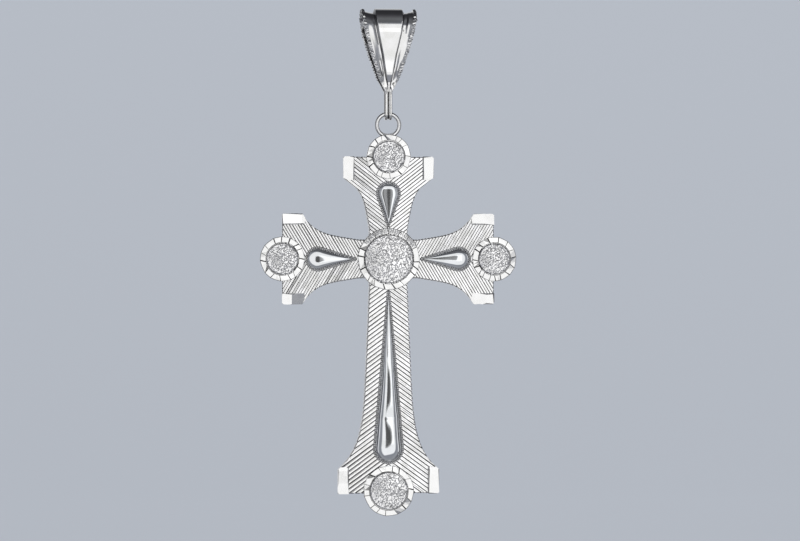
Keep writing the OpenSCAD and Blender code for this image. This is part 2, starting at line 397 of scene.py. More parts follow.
def groove_lines(arm, rng):
    """Distances square to the grooves, and at each the height of the surface on the plain side
    and on the side with an extra fine line on each land, and the bite at the edge."""
    lean = radians(arm.lean)
    start, end = GROOVES_START * cos(lean), (arm.reach - GROOVES_SHORT) * cos(lean)
    rows = []
    pitch, half, fine_half = arm.pitch, arm.pitch * GROOVE_HALF, arm.pitch * FINE_HALF
    for n in range(int(end / pitch) + 1):
        base, tilt = n * pitch, rng.uniform(-1, 1) * LAND_TILT
        deep = rng.uniform(*GROOVE_UNEVEN)
        low, fine_s = -GROOVE_DEPTH * pitch * deep, base + pitch * rng.uniform(*FINE_PLACE)
        rows += [
            (base, low, low, NOTCH * deep),
            (base + half * deep, tilt, tilt, LAND_BITE),
            (fine_s - fine_half, LAND_SIDE, 0.0, 0.0),
            (fine_s, LAND_CROWN, -FINE_DEPTH * pitch * deep, LAND_BITE),
            (fine_s + fine_half, LAND_SIDE, 0.0, 0.0),
            (base + pitch - half, -tilt, -tilt, LAND_BITE),
        ]
    rows = np.array([r for r in rows if start < r[0] < end])
    slope = tan(lean)
    corners = [arm.reach - slope * arm.half, arm.reach - arm.straight - slope * arm.half]
    extra = [c * cos(lean) for c in corners] + [start, end]
    s = np.array(sorted(set(rows[:, 0]) | set(extra)))
    s = s[np.concatenate([[True], np.diff(s) > CLOSEST_ROWS])]
    return s, *(np.interp(s, rows[:, 0], rows[:, k]) for k in (1, 2, 3))


def arm_solid(name, arm, seed):
    """One arm as a closed solid: both halves of its chevron-cut face, its edge and its back."""
    rng = random.Random(seed)
    s, plain, fine, bite = groove_lines(arm, rng)
    lean = radians(arm.lean)
    points, faces, kinds, index = [], [], [], {}

    def add(key, point):
        if key not in index:
            index[key] = len(points)
            points.append(point)
        return index[key]

    for side in (1, -1):
        for i, distance in enumerate(s):
            start = distance / cos(lean)
            reach = max(edge_across(start, tan(lean), arm) - bite[i], LEAST_REACH)
            chamfer = min(EDGE_CHAMFER, reach * 0.3)
            stops = [f * (reach - chamfer) for f in ACROSS] + [reach]
            for j, v in enumerate(stops):
                waver = noise.noise(Vector((distance * 0.9, v * side * 0.8, seed)))
                wobble = 0.85 + GROOVE_WOBBLE * waver
                height = fine[i] if side == 1 and j > 0 else plain[i]
                w = FRONT - ROOF * (v / arm.half) ** 2 + height * wobble
                if j == len(stops) - 1:
                    w -= EDGE_DROP
                key = ("f", i, 0) if j == 0 else (side, i, j)
                add(key, (start + tan(lean) * v, side * v, w))
            add((side, "b", i), (start + tan(lean) * reach, side * reach, BACK))
            add(("b", i), (start, 0.0, BACK))

    last = len(ACROSS)

    def front(side, i, j):
        return index[("f", i, 0)] if j == 0 else index[(side, i, j)]

    for side in (1, -1):
        for i in range(len(s) - 1):
            # Faces deep in a groove take the dark silver: oxide with painted shade.
            cut = min(plain[i], plain[i + 1]) < -GROOVE_DEPTH * arm.pitch * GROOVE_FACES
            for j in range(last):
                faces.append((front(side, i, j), front(side, i + 1, j),
                              front(side, i + 1, j + 1), front(side, i, j + 1)))
                kinds.append(int(cut))
            faces.append((front(side, i, last), front(side, i + 1, last),
                          index[(side, "b", i + 1)], index[(side, "b", i)]))
            faces.append((index[("b", i)], index[("b", i + 1)],
                          index[(side, "b", i + 1)], index[(side, "b", i)]))
            kinds += [2, 2]
        for i in (0, len(s) - 1):
            faces.append(tuple(front(side, i, j) for j in range(last + 1))
                         + (index[(side, "b", i)], index[("b", i)]))
            kinds.append(0)
    return new_mesh(name, on_arm(arm.angle, points), faces, kinds)


def disc_solid(angle, u, r, w_low, w_high, steps=96):
    turns = [2 * pi * i / steps for i in range(steps)]
    rim = [(u + r * cos(t), r * sin(t)) for t in turns]
    points = [(*place, w) for w in (w_low, w_high) for place in rim]
    disc = new_mesh("disc", on_arm(angle, points), tube_faces(2, steps))
    disc.data.materials.append(BRUSHED)
    return disc


def round_ring(a, b, wire, out=0.0):
    """A point at turn a round the ring and b round its wire, moved outwards by out."""
    far = RING_R + wire * cos(b) + out
    return far * cos(a), wire * sin(b), RING_Z + far * sin(a)


def ring_tool(grow, turns=128, sides=32):
    """The ring's torus, grown a little, to cut the ring's seat out of a piece."""
    points = [
        round_ring(2 * pi * i / turns, 2 * pi * j / sides, WIRE_R + grow)
        for i in range(turns) for j in range(sides)
    ]
    return new_mesh("ring_tool", points, tube_faces(turns, sides, close_rows=True))


LOBE_INSET = 0.3  # how far a lobe's edge stays inside its medallion's
LOBE_FRONT = FRONT - 0.1
PLATE_GAP = 0.02  # room between the plate and the ring


def engraved_plate():
    """The whole plate as one solid: four engraved arms and the round lobes under the medallions."""
    plate = None
    for number, (name, arm) in enumerate(ARMS.items()):
        part = arm_solid("arm_" + name, arm, 11 + number)
        for material in (ENGRAVED, OXIDE_AND_PAINTED_SHADE, BRUSHED):
            part.data.materials.append(material)
        if plate is None:
            plate = part
        else:
            boolean(plate, part, "UNION")
    for name in ("centre", "top", "left", "right", "foot"):
        u, r, _ = medallion_place(name)
        lobe = disc_solid(arm_angle(name), u, r - LOBE_INSET, BACK, LOBE_FRONT)
        boolean(plate, lobe, "UNION")
    boolean(plate, ring_tool(PLATE_GAP), "DIFFERENCE")
    plate.name = "engraved_plate"
    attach(plate, "cross")
    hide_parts("cross_plate")


# ------------------------------ medallions

RIM_GROW = 1.012  # a border's reach over its node's radius
SUNK_BASE = FRONT - 0.15  # how deep the pieces on the plate go into it
# Limits of what differs from cut to cut: its share of the turn, the line after it, the slant of
# its ends, the fall to its outer edge, its twist and its height
CUT_SHARE, CUT_GAP, CUT_SLANT = (0.55, 1.45), (0.05, 0.15), (-0.05, 0.05)
CUT_FALL, CUT_TWIST, CUT_HEIGHT = (0.08, 0.21), (-0.07, 0.07), (-0.03, 0.03)
LINE_DEPTH = 0.12  # depth of the line between two cuts


def medallion_rim(name, cuts, seed):
    """A border of flat diamond cuts with a fine line between each two, of uneven length."""
    u, r, height = medallion_place(name)
    r *= RIM_GROW
    inner = half_size(name + "_field", 0) + 0.03
    rng = random.Random(seed)
    shares = [rng.uniform(*CUT_SHARE) for _ in range(cuts)]
    total, turn = sum(shares), rng.uniform(0, 1)
    cut_gaps = [rng.uniform(*CUT_GAP) / r for _ in shares]
    slants = [rng.uniform(*CUT_SLANT) for _ in shares]
    gap, slant = cut_gaps[-1], slants[-1]
    points, kinds_by_row = [], []
    for share, next_gap, next_slant in zip(shares, cut_gaps, slants):
        sweep = 2 * pi * share / total
        outer_low = height - rng.uniform(*CUT_FALL)
        twist, lip = rng.uniform(*CUT_TWIST), rng.uniform(*CUT_HEIGHT)
        chord = 1 / cos(sweep / 2)
        stations = [
            (turn + gap, twist, 0.0, slant), (turn + sweep / 2, 0.0, 0.0, 0.0),
            (turn + sweep - next_gap, -twist, 0.0, next_slant),
            (turn + sweep, 0.0, LINE_DEPTH, next_slant),
        ]
        for k, (a, slip, sunk, lean) in enumerate(stations):
            reach = r / chord ** 0.5 if k == 1 else r - sunk * 0.4
            top = FRONT + height + lip - sunk
            low = FRONT + outer_low + slip - sunk
            for radius, w, way in (
                (inner, SUNK_BASE, -1), (inner, top - 0.1, -1), (inner + 0.07, top, -1),
                (reach - 0.1, low, 1), (reach, low - 0.12, 1), (reach * 0.995, SUNK_BASE, 1),
            ):
                turned = a + lean * way
                points.append((u + radius * cos(turned), radius * sin(turned), w))
            # The walls of the sunk line after each cut take the near-black silver: painted shade in
            # the line.
            kinds_by_row.append(int(k >= 2))
        gap, slant = next_gap, next_slant
        turn += sweep
    rows, columns = len(kinds_by_row), 6
    faces = tube_faces(rows, columns, close_rows=True)
    kinds = [
        kinds_by_row[n // columns] if n % columns in (1, 2, 3) else 0 for n in range(len(faces))
    ]
    rim = new_mesh(name + "_rim", on_arm(arm_angle(name), points), faces, kinds)
    finish_piece(rim, "cross", "facet", [BRIGHT, CUT_LINE_SHADE], name + "_medallion")


WORM_MM = 0.37  # size of the hammered pattern, and the width and depth of its lines
WORM_LINE = 0.15
WORM_DEPTH = 0.045
WORM_SHEAR = 0.4  # turns the pattern off the axes of the noise
WORM_PHASE = 0.47  # keeps its plane between the noise's grid points
WORM_WARP = 0.35
WORM_GRAIN = 0.006  # height of the grain on the plateaus
FIELD_INSET = 0.14  # how far a field stays inside its node, and its crown's height
FIELD_CROWN = 0.3
FIELD_EDGE = 0.15  # width and fall of its low edge
FIELD_FALL = 0.08
FIELD_GRID = (0.045, 0.055)  # spacing of its points outwards and round
# Where the three parts of the warp are read, fixed so that every run gives the same pattern
WARP_SHIFTS = (Vector((9.3, -1.5, -8.0)), Vector((0.0, 0.0, 0.0)), Vector((6.3, 0.2, -2.7)))


def stipple(x, z, seed):
    """Height of the hammered pattern: small plateaus between winding lines."""
    place = Vector((
        (x + WORM_SHEAR * z) / WORM_MM, (z - WORM_SHEAR * x) / WORM_MM, seed + WORM_PHASE
    ))
    place += WORM_WARP * Vector([noise.noise(place * 0.7 + shift) for shift in WARP_SHIFTS])
    line = exp(-(noise.noise(place) / WORM_LINE) ** 2)
    return -WORM_DEPTH * line + WORM_GRAIN * noise.noise(place * 2.3)


def frosted_field(name, seed):
    """The grained disc inside a rim, low at its edge and slightly crowned."""
    u, _, height = medallion_place(name)
    r = half_size(name + "_field", 0) - FIELD_INSET
    edge = FRONT + height - 0.02
    rings, steps = int(r / FIELD_GRID[0]), int(2 * pi * r / FIELD_GRID[1])
    points, depths = [(u, 0.0, edge + FIELD_CROWN)], [0.0]
    for i in range(1, rings + 1):
        share = i / rings
        for j in range(steps):
            a = 2 * pi * (j + 0.5 * (i % 2)) / steps
            x, y = r * share * cos(a), r * share * sin(a)
            fade = min(1.0, (1 - share) * r / FIELD_EDGE)
            depth = stipple(x, y, seed) * fade - FIELD_FALL * (1 - fade)
            points.append((u + x, y, edge + FIELD_CROWN * (1 - share ** 2) + depth))
            depths.append(depth)
    for j in range(steps):
        a = 2 * pi * (j + 0.5 * (rings % 2)) / steps
        points.append((u + r * cos(a), r * sin(a), SUNK_BASE))
        depths.append(0.0)
    faces = fan_faces(0, rings + 1, steps)
    # Faces sunk below half the lines' depth, in the hammered lines and along the low edge, take the
    # darker silver: tarnish with painted shade.
    kinds = [int(sum(depths[k] for k in f) < -WORM_DEPTH * 0.5 * len(f)) for f in faces]
    points = on_arm(arm_angle(name), points)
    field = new_mesh(name + "_grained_field", points, faces, kinds)
    smooth_below(field, 50)
    finish_piece(field, "cross", "frost", [FROSTED, FROST_LINE_TARNISH_AND_SHADE], name + "_field")


# ------------------------------ drops and their collars

DROP_SKIRT = 0.12  # height of the upright wall round its foot
DROP_LEAST = 0.03  # half width and height left at its point
DROP_TOP_LEAST = 0.02

# For each polished drop: its rise against its half width, how flat its middle is, how blunt
# along its length, how much its crest faces the object's left, and its hand-polished waves as
# (place, half length, height)
DROPS = [
    ("top", 0.40, 6.5, 0.10, -0.096, []),
    ("left", 0.10, 3.0, 0.45, 0.03, [(9.0, 8.0, 0.55)]),
    ("right", 0.34, 3.0, 0.95, 0.05, []),
    ("foot", 0.40, 3.3, 0.5, 0.115, [(25.6, 6.2, 0.34), (35.6, 3.9, 0.21)]),
]


def drop_shape(name):
    """Where a drop's point and the middle of its round end lie, and its round end's radius."""
    low, high = box_mm(name + "_drop")
    if name in ("top", "foot"):
        r, ends = half_size(name + "_drop", 0), (abs(low[2] - CROSS_Z), abs(high[2] - CROSS_Z))
    else:
        r, ends = half_size(name + "_drop", 2), (abs(low[0]), abs(high[0]))
    return min(ends), max(ends) - r, r


def drop_half(u, point, middle_u, r):
    """Half width of a drop at u: its two straight flanks, then its round end."""
    lean = asin(r / (middle_u - point))
    if u < middle_u - r * sin(lean):
        return max(0.05, (u - point) * tan(lean))
    return sqrt(max(0.0, r * r - (u - middle_u) ** 2))


def polished_drop(name, steep, flatness, blunt, turned, swells, seed):
    """A long polished dome, highest near its round end. A larger flatness leaves its middle
    flatter, a smaller blunt brings it to its full height sooner."""
    point, middle_u, r = drop_shape(name)
    rise, rows, columns = r * steep, 120, 36
    points = []
    for i in range(rows):
        t = 0.5 - 0.5 * cos(pi * (0.01 + 0.985 * i / (rows - 1)))
        u = point + (middle_u + r - point) * t
        half = max(drop_half(u, point, middle_u, r), DROP_LEAST)
        wave = 0.01 * noise.noise(Vector((u * 0.28, seed * 3.1, 0.0)))
        facing = 0.0 if swells else turned
        for place, reach, height in swells:
            share = max(0.0, 1 - ((u - place) / reach) ** 2)
            wave += height * share
            facing += turned * share
        top = (rise + wave) * (half / r) ** blunt
        if u > middle_u:
            fall = ((u - middle_u) / r) ** max(2.4, 0.7 * flatness)
            top = (rise + wave) * sqrt(max(0.0, 1 - fall))
        for j in range(columns):
            across = cos(pi * j / (columns - 1))
            arch = (1 - abs(across) ** flatness) ** 0.8
            slant = facing * half * across * (1 - across ** 2)
            w = FRONT + DROP_SKIRT + max(top, DROP_TOP_LEAST) * arch + slant
            points.append((u, half * across, w))
    rim = [i * columns for i in range(rows)]
    rim += [i + columns - 1 for i in reversed(rim)]
    start = len(points)
    points += [(points[i][0], points[i][1], FRONT - 0.2) for i in rim]
    faces = []
    for i in range(rows - 1):
        for j in range(columns - 1):
            a, b = i * columns + j, (i + 1) * columns + j
            faces.append((a, b, b + 1, a + 1))
    faces.append(tuple(range(columns)))
    faces.append(tuple((rows - 1) * columns + j for j in reversed(range(columns))))
    for k in range(len(rim)):
        n = (k + 1) % len(rim)
        faces.append((rim[k], start + k, start + n, rim[n]))
    faces.append(tuple(range(start, len(points))))
    drop = new_mesh(name + "_polished_drop", on_arm(arm_angle(name), points), faces)
    smooth_below(drop, 50)
    finish_piece(drop, "cross", "drop", [DROP], name + "_drop")


def collar_path(name, offset, spacing):
    """Points along the line that runs round a drop at the given distance from it."""
    point, middle_u, r = drop_shape(name)
    lean = asin(r / (middle_u - point))
    grown = r + offset
    tip = point - offset / sin(lean)
    begin = max(tip, medallion_place("centre")[1] + 0.12)
    flank = (middle_u - grown * sin(lean) - begin) / cos(lean)
    arc = grown * (pi + 2 * lean)
    total = 2 * flank + arc
    count = round(total / spacing)
    path = []
    for i in range(count + 1):
        d = total * i / count
        if d < flank:
            u = begin + d * cos(lean)
            path.append((u, (u - tip) * tan(lean)))
        elif d < flank + arc:
            a = pi / 2 + lean - (d - flank) / grown
            path.append((middle_u + grown * cos(a), grown * sin(a)))
        else:
            u = begin + (total - d) * cos(lean)
            path.append((u, -(u - tip) * tan(lean)))
    return path


def sweep_along(path, outline):
    """Carries an outline of (sideways, w) along a flat path of (u, v). Returns the points."""
    points = []
    for i, here in enumerate(path):
        before, after = path[max(i - 1, 0)], path[min(i + 1, len(path) - 1)]
        run = Vector((after[0] - before[0], after[1] - before[1])).normalized()
        for side, w in outline:
            points.append((here[0] - run.y * side, here[1] + run.x * side, w))
    return points


BEAD_R, BEAD_PITCH = 0.19, 0.42
BEAD_ROUND = 115  # degrees from its top that a bead is round, before it closes
COLLAR_HALF = 0.21  # half width and height of a collar's step, and its chamfer
COLLAR_H = 0.08
COLLAR_CHAMFER = 0.05


def add_bead(points, faces, centre, r, steps=8, rings=4):
    """Adds the upper part of a bead, closed underneath."""
    u, v, w = centre
    faces += fan_faces(len(points), rings, steps)
    points.append((u, v, w + r))
    for i in range(1, rings + 1):
        a = radians(BEAD_ROUND) * i / rings
        for j in range(steps):
            b = 2 * pi * j / steps
            points.append((u + r * sin(a) * cos(b), v + r * sin(a) * sin(b), w + r * cos(a)))


def beaded_collar(name, seed):
    """A low step round a drop, with a row of small beads along it."""
    rng = random.Random(seed)
    high, flat = FRONT + COLLAR_H, COLLAR_HALF - COLLAR_CHAMFER
    right = [(flat, high), (COLLAR_HALF, high - COLLAR_CHAMFER), (COLLAR_HALF, FRONT - 0.2)]
    outline = [(-across, w) for across, w in reversed(right)] + right
    path = collar_path(name, 0.24, 0.25)
    points = sweep_along(path, outline)
    faces = tube_faces(len(path), len(outline))
    # The collar's step takes the dark silver: painted shade round the drop's foot.
    kinds = [1] * len(faces)
    for u, v in collar_path(name, 0.26, BEAD_PITCH)[1:-1]:
        add_bead(points, faces, (u, v, high - 0.02), BEAD_R * rng.uniform(0.85, 1.1))
    kinds += [0] * (len(faces) - len(kinds))
    points = on_arm(arm_angle(name), points)
    collar = new_mesh(name + "_beaded_collar", points, faces, kinds)
    smooth_below(collar, 40)
    finish_piece(collar, "cross", "bead", [BEADED, OXIDE_AND_PAINTED_SHADE], name + "_drop_collar")


MILGRAIN_ARC = (28, 150)  # degrees, from +X towards the top arm
MILGRAIN_ROWS = (0.16, 0.46, 0.76)  # how far inside the border's edge each row runs
MILGRAIN_R = (0.17, 0.23)


def centre_milgrain(seed):
    """Rows of punched grains over the upper part of the centre medallion's border."""
    _, r, height = medallion_place("centre")
    rng = random.Random(seed)
    points, faces = [], []
    for row, inset in enumerate(MILGRAIN_ROWS):
        step = degrees(BEAD_PITCH / (r - inset))
        for k in range(int((MILGRAIN_ARC[1] - MILGRAIN_ARC[0]) / step)):
            turn = step * (k + 0.5 * (row % 2) + rng.uniform(-0.15, 0.15))
            a = radians(MILGRAIN_ARC[0] + turn)
            far = r - inset + rng.uniform(-0.04, 0.04)
            w = FRONT + height - 0.2 + inset * 0.12
            place = (far * cos(a), far * sin(a), w)
            add_bead(points, faces, place, rng.uniform(*MILGRAIN_R))
    grains = new_mesh("centre_milgrain", on_arm(0, points), faces)
    smooth_below(grains, 40)
    finish_piece(grains, "cross", "bead", [BEADED])


# ------------------------------ corner caps

CAP_W = 2.15  # width of a cap across its arm, and its height over the plate
CAP_H = 0.66
CAP_GROW = 0.04  # how far it reaches over the plate's edge
CAP_NICK = (-0.05, 0.03)  # limits of the hand-cut unevenness of its outer edge
CAP_CORNER = (0.2, 0.35)  # limits of what is cut off its corner

# Each cap's node, its arm, its side (1 is left, looking out along the arm), and its hand-cut
# facets: slopes in degrees towards the side and the end, and a second facet's place and slope
CAPS = [
    ("top_left_corner_cap", "top", 1, 12, 2, 0.85, 9),
    ("top_right_corner_cap", "top", -1, 6, 1, 0.75, 10),
    ("left_upper_corner_cap", "left", -1, 4, 2, 0.85, 9),
    ("left_lower_corner_cap", "left", 1, 6, -15, 0.42, 8),
    ("right_upper_corner_cap", "right", 1, 7, 2, 0.3, 8),
    ("right_lower_corner_cap", "right", -1, 5, -14, 0.75, 4),
    ("foot_right_corner_cap", "foot", 1, 5, 2, 0.8, 9),
    ("foot_left_corner_cap", "foot", -1, 4, 2, 0.45, 7),
]


def cut_away(tidy, point, normal):
    """Cuts a mesh by a plane, drops what lies on the normal's side and closes the hole."""
    everything = list(tidy.verts) + list(tidy.edges) + list(tidy.faces)
    bmesh.ops.bisect_plane(
        tidy, geom=everything, plane_co=point, plane_no=normal, clear_outer=True, dist=1e-6
    )
    open_edges = [e for e in tidy.edges if e.is_boundary]
    if open_edges:
        bmesh.ops.holes_fill(tidy, edges=open_edges, sides=0)


def corner_cap(node, arm_name, side, slope_side, slope_end, second, second_slope):
    """A bright-cut block over an arm's corner, its top cut into flat facets."""
    arm = ARMS[arm_name]
    shoulder, inner = arm.reach - arm.straight, arm.half - CAP_W
    rng = random.Random(len(node) * 7 + side + arm.angle)
    start, end = shoulder - 0.55, arm.reach + CAP_GROW
    flare = [(u, float(half_width(u, arm)) + CAP_GROW) for u in np.linspace(start, shoulder, 4)]
    nicks = [
        (u, arm.half + CAP_GROW + rng.uniform(*CAP_NICK))
        for u in np.linspace(shoulder + 0.35, arm.reach - 0.25, 9)
    ]
    corner = [(end, arm.half - rng.uniform(*CAP_CORNER)), (end, inner)]
    outline = [(start + 0.15, inner)] + flare + nicks + corner
    points = [(u, v, w) for w in (FRONT - 0.4, FRONT + CAP_H + 0.3) for u, v in outline]
    tidy = bmesh.new()
    made = [tidy.verts.new(p) for p in points]
    for face in tube_faces(2, len(outline)):
        tidy.faces.new([made[k] for k in face])
    bmesh.ops.recalc_face_normals(tidy, faces=tidy.faces)

    # Each facet: a point on it, by how far under the cap's top it lies, and its fall in degrees
    # towards the end and the side. Two broad facets, the inner end, and the three chamfers.
    middle_u, middle_v = (shoulder + arm.reach) / 2, arm.half - CAP_W / 2
    for u, v, under, fall_end, fall_side in (
        (middle_u, inner, 0.0, slope_end, slope_side),
        (shoulder + arm.straight * second, middle_v, 0.02, second_slope, slope_side),
        (shoulder, middle_v, 0.04, -10, slope_side),
        (middle_u, arm.half - 0.12, 0.12, 0, 40),
        (middle_u, inner + 0.2, 0.04, 0, -50),
        (arm.reach - 0.1, middle_v, 0.16, 42, 0),
    ):
        normal = Vector((tan(radians(fall_end)), tan(radians(fall_side)), 1))
        cut_away(tidy, Vector((u, v, FRONT + CAP_H - under)), normal.normalized())
    points = [(v.co.x, v.co.y * side, v.co.z) for v in tidy.verts]
    for number, vertex in enumerate(tidy.verts):
        vertex.index = number
    faces = [tuple(v.index for v in f.verts) for f in tidy.faces]
    tidy.free()
    cap = new_mesh(node.replace("_corner_cap", "_bright_cap"), on_arm(arm.angle, points), faces)
    finish_piece(cap, "cross", "facet_cap", [BRIGHT], node)


# ------------------------------ ring and solder

def wire_ring():
    """The ring's wire, very slightly uneven, as hand-closed wire is."""
    turns, sides = 160, 28
    points = []
    for i in range(turns):
        a = 2 * pi * i / turns
        uneven = noise.noise(Vector((cos(a) * 3, sin(a) * 3, 4.0)))
        wire = WIRE_R * (0.985 + 0.015 * uneven)
        points += [round_ring(a, 2 * pi * j / sides, wire) for j in range(sides)]
    ring = new_mesh("ring_wire", points, tube_faces(turns, sides, close_rows=True))
    smooth_below(ring, 60)
    finish_piece(ring, "ring", "ring", [WIRE], "hanging_ring")


SOLDER_SPREAD = 30  # degrees each way from the ring's foot
SOLDER_SWELL = 0.09  # its thickness over the wire, and the least of it
SOLDER_LEAST = 0.012
SOLDER_GAP = 0.006  # room between it and the ring


def solder_seat():
    """The solder that fills in between the ring and the plate's edge, behind the medallion."""
    rows, columns = 25, 20
    points = []
    for i in range(rows):
        way = 2 * i / (rows - 1) - 1
        swell = SOLDER_SWELL * sqrt(max(0.0, 1 - way ** 2)) + SOLDER_LEAST
        for j in range(columns):
            b = 2 * pi * j / columns
            out = swell * max(0.0, cos(b))
            points.append(
                round_ring(radians(SOLDER_SPREAD * way - 90), b, WIRE_R + swell, out)
            )
    seat = new_mesh("solder_seat", points, tube_faces(rows, columns))
    boolean(seat, ring_tool(SOLDER_GAP), "DIFFERENCE")
    smooth_below(seat, 40)
    finish_piece(seat, "cross", "plate", [BEADED])


# ------------------------------ bail

def taper(z):
    """Half width of the bail's strip at a height."""
    return float(np.interp(
        z,
        [HINGE_Z + 4.4, HINGE_Z + 5.2, HINGE_Z + 6.9, HINGE_Z + 12.3, -0.7, 1.7, SEAT_R + 1.4],
        [0.72, 1.15, 2.0, 3.8, 4.8, 5.38, 5.6],
    ))


def ridge_taper(z):
    """Half width of the raised middle panel at a height."""
    return float(np.interp(
        z, [HINGE_Z + 5.2, HINGE_Z + 6.6, HINGE_Z + 11.7, 1.7, SEAT_R + 1.4],
        [0.12, 0.34, 1.14, 2.6, 2.78],
    ))


TAB_Z = HINGE_Z + 6.4  # where the straight tabs end and the leaves lean out
LEAN = asin(SEAT_R / hypot(LOOP_OUT_R, TAB_Z)) - atan2(LOOP_OUT_R, -TAB_Z)


def section(row, outline):
    """An outline of (x, outward) at a row of (y, z, outward y, outward z)."""
    y, z, out_y, out_z = row
    return [(x, y + out_y * o, z + out_z * o) for x, o in outline]


def bail_rows():
    """The folded strip's inner face, from the foot of the front tab over the seat to the foot of
    the back tab: rows of (y, z, outward y, outward z)."""
    front = []
    out = (-cos(LEAN), -sin(LEAN))
    contact = (SEAT_R * out[0], SEAT_R * out[1])
    for z in np.linspace(HINGE_Z + 4.3, TAB_Z - 0.2, 15):
        front.append((-LOOP_OUT_R, z, -1.0, 0.0))
    for t in np.linspace(0.02, 1, 96):
        front.append((-LOOP_OUT_R + (contact[0] + LOOP_OUT_R) * t,
                      TAB_Z + (contact[1] - TAB_Z) * t, *out))
    arc, steps = [], 90
    for k in range(1, steps):
        a = pi + LEAN - (pi + 2 * LEAN) * k / steps
        arc.append((SEAT_R * cos(a), SEAT_R * sin(a), cos(a), sin(a)))
    back = [(-y, z, -ny, nz) for y, z, ny, nz in reversed(front)]
    return front + arc + back


VALLEY_GAP = 0.42  # from the ridge's foot to the side panel
LIP_H = 0.6  # how far the side panels' edges rise over the strip
BELLY = 0.15  # the ridge stands this much out above BELLY_Z and in below it, over
BELLY_Z = -2.7  # BELLY_REACH each way
BELLY_REACH = 5.5
MILL_PITCH = 0.52  # the milled marks along the bail's edges, and how uneven they are
MILL_DEPTH = 0.17
MILL_WIDTH = 0.62
MILL_UNEVEN = 1.1
STREAK = 0.13  # height of the long hammered streaks down the side panels


def folded_bail():
    """The bail's strip: a raised flat middle panel, a valley on each side of it and side panels
    that rise to milled edges."""
    rows = bail_rows()
    points, length, before = [], 0.0, rows[0]
    for row in rows:
        z = row[1]
        length += hypot(row[0] - before[0], z - before[1])
        before = row
        half, ridge = taper(z), min(ridge_taper(z), taper(z) * 0.6)
        share = min(1.0, max(0.0, (z - HINGE_Z - 4.9) / 3.6))
        share = share * share * (3 - 2 * share)
        lip, step = LIP_H * share, RIDGE_H * (0.25 + 0.75 * share)
        uneven = 1 + MILL_UNEVEN * noise.noise(Vector((length * 1.3, 3.0, 5.0)))
        mill = MILL_DEPTH * uneven * sin(2 * pi * length / MILL_PITCH) * share
        swing = min(1.0, max(-1.0, (z - BELLY_Z) / BELLY_REACH))
        belly = BELLY * share * sin(pi * swing)
        gap = min(VALLEY_GAP, half * 0.15)
        edge = min(MILL_WIDTH, half * 0.25)
        valley, top, crest = LEAF_T - 0.08 * share, LEAF_T + lip, LEAF_T + step + belly
        high, low = (half - edge - 0.05, top - 0.28 * share - 0.02), (ridge + gap + 0.1, valley)
        right, left = [], []
        for sign, side in ((1, right), (-1, left)):
            side += [
                (half - 0.05, 0.0), (half + mill * 0.6, 0.12), (half + mill, top * 0.55),
                (half - mill * 0.6, top - 0.12), (half - 0.06, top + mill * 0.5),
                (half - edge * 0.5, top - 0.02 - mill),
                (half - edge, top - 0.03 + mill * 0.6), high,
            ]
            for k in (1, 2, 3):
                streak = noise.noise(Vector((length * 0.3, k * 2.7, sign * 4.6)))
                side.append((
                    high[0] + (low[0] - high[0]) * k / 4,
                    high[1] + (low[1] - high[1]) * k / 4 + STREAK * streak * share,
                ))
            side += [
                low, (ridge + gap, valley), (ridge + gap * 0.12, crest - 0.06),
                (ridge - min(0.05, ridge * 0.3), crest),
            ]
        outline = right + [(-x, o) for x, o in reversed(left)]
        points += section(row, outline)
    columns = len(outline)
    faces = tube_faces(len(rows), columns)
    # The ridge's two side walls take the dark silver: oxide with painted shade in the valleys
    # beside the ridge.
    walls = (columns // 2 - 3, columns // 2 + 1)
    kinds = [int(n % columns in walls) for n in range(len(faces))]
    bail = new_mesh("folded_bail", points, faces, kinds)
    smooth_below(bail, 24)
    finish_piece(bail, "bail", "bail", [BAIL, OXIDE_AND_PAINTED_SHADE], "bail")


def strap_loop():
    """The strap under the tabs that holds the ring, with a groove along its outer face."""
    middle_r, thick, half = (LOOP_IN_R + LOOP_OUT_R) / 2, LOOP_T / 2, LOOP_HALF
    path, steps = [], 28
    for turn, start, end, way in ((0, HINGE_Z, LOOP_TOP_Z, -1.0), (pi, LOOP_TOP_Z, HINGE_Z, 1.0)):
        for k in range(steps + 1):
            a = turn - pi * k / steps
            out_y, out_z = cos(a), sin(a)
            path.append((middle_r * out_y, start + middle_r * out_z, out_y, out_z))
        path += [(way * middle_r, z, way, 0.0) for z in np.linspace(start, end, 14)[1:-1]]
    side = [(half, -thick + 0.1), (half, thick - 0.16), (half - 0.12, thick - 0.02),
            (half - 0.34, thick), (half - 0.5, thick - 0.06)]
    groove = [(0.11, thick - 0.2), (0.0, thick - 0.32), (-0.11, thick - 0.2)]
    outline = side + groove + [(-x, o) for x, o in reversed(side)]
    outline += [(-half + 0.1, -thick), (half - 0.1, -thick)]
    points = [point for row in path for point in section(row, outline)]
    faces = tube_faces(len(path), len(outline), close_rows=True)
    # The groove's two walls take the dark silver: oxide with painted shade in the groove.
    walls = (len(side), len(side) + 1)
    kinds = [int(n % len(outline) in walls) for n in range(len(faces))]
    loop = new_mesh("strap_loop", points, faces, kinds)
    smooth_below(loop, 35)
    finish_piece(loop, "bail", "loop", [WIRE, OXIDE_AND_PAINTED_SHADE], "bail_loop")


def pointed_arch():
    """The small raised arch where the front leaf narrows into the loop."""
    left = [(-0.52, 3.9), (-0.50, 4.6), (-0.34, 5.2)]
    path = left + [(0.0, 5.8)] + [(-x, z) for x, z in reversed(left)]
    outline = [(-0.17, -0.1), (-0.12, 0.2), (0.0, 0.3), (0.12, 0.2), (0.17, -0.1)]
    swept = sweep_along(path, outline)
    face = -LOOP_OUT_R - LEAF_T + 0.02
    points = [(x, face - w, HINGE_Z + z) for x, z, w in swept]
    arch = new_mesh("pointed_arch", points, tube_faces(len(path), len(outline)))
    smooth_below(arch, 30)
    finish_piece(arch, "bail", "bail", [BAIL])


# ------------------------------ studio

